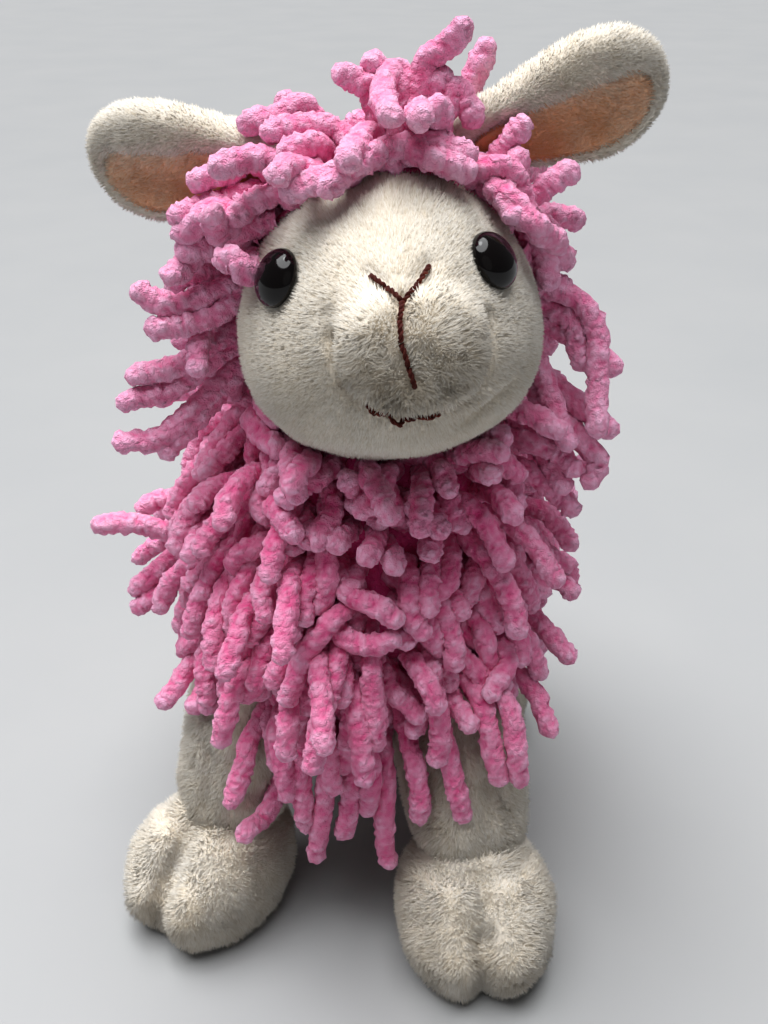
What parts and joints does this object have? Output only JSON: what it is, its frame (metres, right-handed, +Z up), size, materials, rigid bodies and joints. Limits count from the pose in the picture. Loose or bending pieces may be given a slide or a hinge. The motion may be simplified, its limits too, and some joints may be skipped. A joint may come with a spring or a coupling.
{
  "type": "plush sheep",
  "caption": "Stuffed toy sheep that stands on its feet, with cream plush face, ears and legs and a shaggy fleece of pink chenille strands.",
  "frame": {"origin": "on the ground, under the middle of the whole toy's box", "axes": "+Z up; the sheep faces -Y; +X on the right of someone who looks at its face"},
  "size_m": [0.1488, 0.203, 0.2567],
  "materials": {
    "cream_plush": "short cream pile plush",
    "ear_lining": "smooth peach velour",
    "fleece_strands": "thick pink chenille with frosted tips",
    "eye_plastic": "polished black",
    "washer_plastic": "moulded white",
    "embroidery_thread": "twisted dark red-brown thread",
    "stuffing": "loose white polyester fibre"
  },
  "bodies": {
    "root": {"face_cover": "cream_plush", "head_fleece": "fleece_strands", "chest_fleece": "fleece_strands", "left_side_fleece": "fleece_strands", "right_side_fleece": "fleece_strands", "belly_panel": "cream_plush", "front_left_leg_cover": "cream_plush", "front_right_leg_cover": "cream_plush", "hind_left_leg_cover": "cream_plush", "hind_right_leg_cover": "cream_plush", "front_left_foot_cover": "cream_plush", "front_right_foot_cover": "cream_plush", "hind_left_foot_cover": "cream_plush", "hind_right_foot_cover": "cream_plush", "left_eye": "eye_plastic", "right_eye": "eye_plastic", "left_eye_washer": "washer_plastic", "right_eye_washer": "washer_plastic", "nose_embroidery": "embroidery_thread", "mouth_embroidery": "embroidery_thread", "head_stuffing": "stuffing", "body_stuffing": "stuffing", "front_left_leg_stuffing": "stuffing", "front_right_leg_stuffing": "stuffing", "hind_left_leg_stuffing": "stuffing", "hind_right_leg_stuffing": "stuffing"},
    "left_ear": {"left_ear_outer": "cream_plush", "left_ear_lining": "ear_lining"},
    "right_ear": {"right_ear_outer": "cream_plush", "right_ear_lining": "ear_lining"},
    "tail": {"tail": "cream_plush"}
  },
  "joints": [
    {"name": "left_ear_hinge", "type": "hinge", "parent": "root", "child": "left_ear", "pos_m": [-0.0184, -0.03284, 0.22932], "axis": [-0.2534, -0.9304, -0.2649], "range_deg": [-20, 20], "stiffness_Nm_per_rad": 0.03},
    {"name": "right_ear_hinge", "type": "hinge", "parent": "root", "child": "right_ear", "pos_m": [0.02757, -0.02966, 0.23289], "axis": [-0.15, 0.9636, 0.2214], "range_deg": [-20, 20], "stiffness_Nm_per_rad": 0.03},
    {"name": "tail_hinge", "type": "hinge", "parent": "root", "child": "tail", "pos_m": [-0.00068, 0.07294, 0.1191], "axis": [1, 0, 0], "range_deg": [-15, 25], "stiffness_Nm_per_rad": 0.03}
  ]
}
